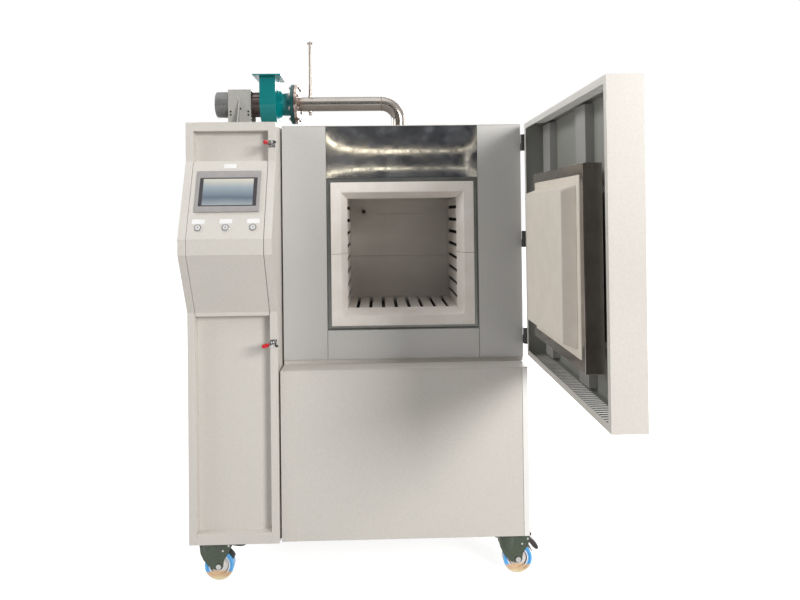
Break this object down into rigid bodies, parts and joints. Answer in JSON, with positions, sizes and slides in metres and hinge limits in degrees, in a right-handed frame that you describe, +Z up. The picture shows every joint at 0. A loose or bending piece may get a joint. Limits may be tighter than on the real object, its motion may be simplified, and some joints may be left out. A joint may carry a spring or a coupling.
{
  "type": "box furnace",
  "caption": "Front-loading box furnace on braked casters, with a fibre-lined chamber, a swing door with an insulating plug, a control column and an exhaust blower.",
  "frame": {"origin": "bottom centre of the whole furnace with its door open at 90 degrees, on the floor", "axes": "+Z up, +X to the right along the front, +Y from the front to the rear"},
  "size_m": [1.269, 1.515, 1.96],
  "materials": {
    "cabinet_paint": "satin",
    "casing_paint": "satin",
    "polished_steel": "polished",
    "dark_steel": "satin",
    "fibre": "matte",
    "element_wire": "matte",
    "bare_steel": "satin",
    "bright_steel": "polished",
    "pipe_steel": "satin",
    "black_steel": "satin",
    "bezel_plastic": "satin",
    "screen": "gloss",
    "label_plate": "satin",
    "gear_plastic": "matte",
    "black_plastic": "satin",
    "blower_paint": "satin",
    "motor_paint": "satin",
    "bracket_paint": "satin",
    "black_rubber": "matte",
    "button_cap": "satin",
    "red_grip": "gloss",
    "fork_paint": "satin",
    "wheel_plastic": "gloss"
  },
  "bodies": {
    "furnace": {"base_frame": "black_steel", "lower_wall_panels": "cabinet_paint", "lower_front_cover": "cabinet_paint", "casing_wall_panels": "cabinet_paint", "casing_top_panel": "cabinet_paint", "front_panels": "casing_paint", "head_panel": "polished_steel", "mouth_trim_frame": "dark_steel", "mouth_frame_boards": "fibre", "hearth_board": "fibre", "chamber_wall_boards": "fibre", "rear_wall_boards": "fibre", "backup_insulation": "fibre", "heating_elements": "element_wire", "terminal_cover": "cabinet_paint", "thermocouple": "bare_steel", "column_side_panels": "cabinet_paint", "column_closing_panels": "cabinet_paint", "column_recess_panels": "cabinet_paint", "console_panel": "cabinet_paint", "screen_bezel": "bezel_plastic", "screen_glass": "screen", "button_bezels": "bright_steel", "label_plates": "label_plate", "electrical_plate": "bare_steel", "switchgear": "gear_plastic", "cable_gland": "black_plastic", "clamp_bases": "bright_steel", "blower_volute": "blower_paint", "motor_housing": "motor_paint", "motor_fan_cover": "motor_paint", "motor_bracket": "bracket_paint", "exhaust_pipe": "pipe_steel", "flange_gasket": "black_rubber", "flange_bolts": "bright_steel", "body_hinge_halves": "black_steel"},
    "door": {"door_shell": "cabinet_paint", "door_stiffeners": "casing_paint", "plug_pan": "polished_steel", "plug_boards": "fibre", "door_hinge_halves": "black_steel"},
    "damper": {"damper": "bare_steel"},
    "blower_rotor": {"blower_rotor": "bare_steel"},
    "left_button": {"left_button": "button_cap"},
    "middle_button": {"middle_button": "button_cap"},
    "right_button": {"right_button": "button_cap"},
    "upper_clamp_arm": {"upper_clamp_arm": "bright_steel"},
    "upper_clamp_handle": {"upper_clamp_handle": "red_grip"},
    "lower_clamp_arm": {"lower_clamp_arm": "bright_steel"},
    "lower_clamp_handle": {"lower_clamp_handle": "red_grip"},
    "front_left_caster": {"front_left_fork": "fork_paint"},
    "front_left_wheel": {"front_left_wheel": "wheel_plastic"},
    "front_left_pedal": {"front_left_pedal": "black_plastic"},
    "front_right_caster": {"front_right_fork": "fork_paint"},
    "front_right_wheel": {"front_right_wheel": "wheel_plastic"},
    "front_right_pedal": {"front_right_pedal": "black_plastic"},
    "rear_left_caster": {"rear_left_fork": "fork_paint"},
    "rear_left_wheel": {"rear_left_wheel": "wheel_plastic"},
    "rear_right_caster": {"rear_right_fork": "fork_paint"},
    "rear_right_wheel": {"rear_right_wheel": "wheel_plastic"}
  },
  "joints": [
    {"name": "door_swing", "type": "hinge", "parent": "furnace", "child": "door", "pos_m": [0.5445, 0.1075, 1.166], "axis": [0, 0, 1], "range_deg": [-90, 85]},
    {"name": "damper_turn", "type": "hinge", "parent": "furnace", "child": "damper", "pos_m": [-0.2475, 0.4145, 1.707], "axis": [0, 0, 1], "range_deg": [0, 90]},
    {"name": "blower_spin", "type": "hinge", "parent": "furnace", "child": "blower_rotor", "pos_m": [-0.4915, 0.4145, 1.707], "axis": [1, 0, 0], "continuous": true},
    {"name": "left_button_press", "type": "slide", "parent": "furnace", "child": "left_button", "axis": [0, 0.9299, -0.3677], "range_m": [0, 0.003], "stiffness_N_per_m": 300, "springref_m": -0.003},
    {"name": "middle_button_press", "type": "slide", "parent": "furnace", "child": "middle_button", "axis": [0, 0.9299, -0.3677], "range_m": [0, 0.003], "stiffness_N_per_m": 300, "springref_m": -0.003},
    {"name": "right_button_press", "type": "slide", "parent": "furnace", "child": "right_button", "axis": [0, 0.9299, -0.3677], "range_m": [0, 0.003], "stiffness_N_per_m": 300, "springref_m": -0.003},
    {"name": "upper_clamp_arm_swing", "type": "hinge", "parent": "furnace", "child": "upper_clamp_arm", "pos_m": [-0.3375, -0.0035, 1.507], "axis": [0, 0, 1], "range_deg": [0, 90]},
    {"name": "upper_clamp_handle_swing", "type": "hinge", "parent": "furnace", "child": "upper_clamp_handle", "pos_m": [-0.3465, -0.0035, 1.507], "axis": [0, 0, 1], "range_deg": [-80, 0]},
    {"name": "lower_clamp_arm_swing", "type": "hinge", "parent": "furnace", "child": "lower_clamp_arm", "pos_m": [-0.3375, -0.0035, 0.825], "axis": [0, 0, 1], "range_deg": [0, 90]},
    {"name": "lower_clamp_handle_swing", "type": "hinge", "parent": "furnace", "child": "lower_clamp_handle", "pos_m": [-0.3465, -0.0035, 0.825], "axis": [0, 0, 1], "range_deg": [-62, 0]},
    {"name": "front_left_swivel", "type": "hinge", "parent": "furnace", "child": "front_left_caster", "pos_m": [-0.5775, 0.0775, 0.122], "axis": [0, 0, 1], "continuous": true},
    {"name": "front_left_roll", "type": "hinge", "parent": "front_left_caster", "child": "front_left_wheel", "pos_m": [-0.5435, 0.0775, 0.05], "axis": [0, 1, 0], "continuous": true},
    {"name": "front_left_brake", "type": "hinge", "parent": "front_left_caster", "child": "front_left_pedal", "pos_m": [-0.509, 0.0775, 0.1205], "axis": [0, -1, 0], "range_deg": [-48, 0]},
    {"name": "front_right_swivel", "type": "hinge", "parent": "furnace", "child": "front_right_caster", "pos_m": [0.4625, 0.0775, 0.122], "axis": [0, 0, 1], "continuous": true},
    {"name": "front_right_roll", "type": "hinge", "parent": "front_right_caster", "child": "front_right_wheel", "pos_m": [0.4965, 0.0775, 0.05], "axis": [0, 1, 0], "continuous": true},
    {"name": "front_right_brake", "type": "hinge", "parent": "front_right_caster", "child": "front_right_pedal", "pos_m": [0.531, 0.0775, 0.1205], "axis": [0, -1, 0], "range_deg": [0, 48]},
    {"name": "rear_left_swivel", "type": "hinge", "parent": "furnace", "child": "rear_left_caster", "pos_m": [-0.5775, 0.6555, 0.122], "axis": [0, 0, 1], "continuous": true},
    {"name": "rear_left_roll", "type": "hinge", "parent": "rear_left_caster", "child": "rear_left_wheel", "pos_m": [-0.5435, 0.6555, 0.05], "axis": [0, 1, 0], "continuous": true},
    {"name": "rear_right_swivel", "type": "hinge", "parent": "furnace", "child": "rear_right_caster", "pos_m": [0.4625, 0.6555, 0.122], "axis": [0, 0, 1], "continuous": true},
    {"name": "rear_right_roll", "type": "hinge", "parent": "rear_right_caster", "child": "rear_right_wheel", "pos_m": [0.4965, 0.6555, 0.05], "axis": [0, 1, 0], "continuous": true}
  ],
  "couplings": [
    {"joint": "upper_clamp_handle_swing", "follows": "upper_clamp_arm_swing", "ratio": -0.88889},
    {"joint": "lower_clamp_handle_swing", "follows": "lower_clamp_arm_swing", "ratio": -0.68889}
  ]
}
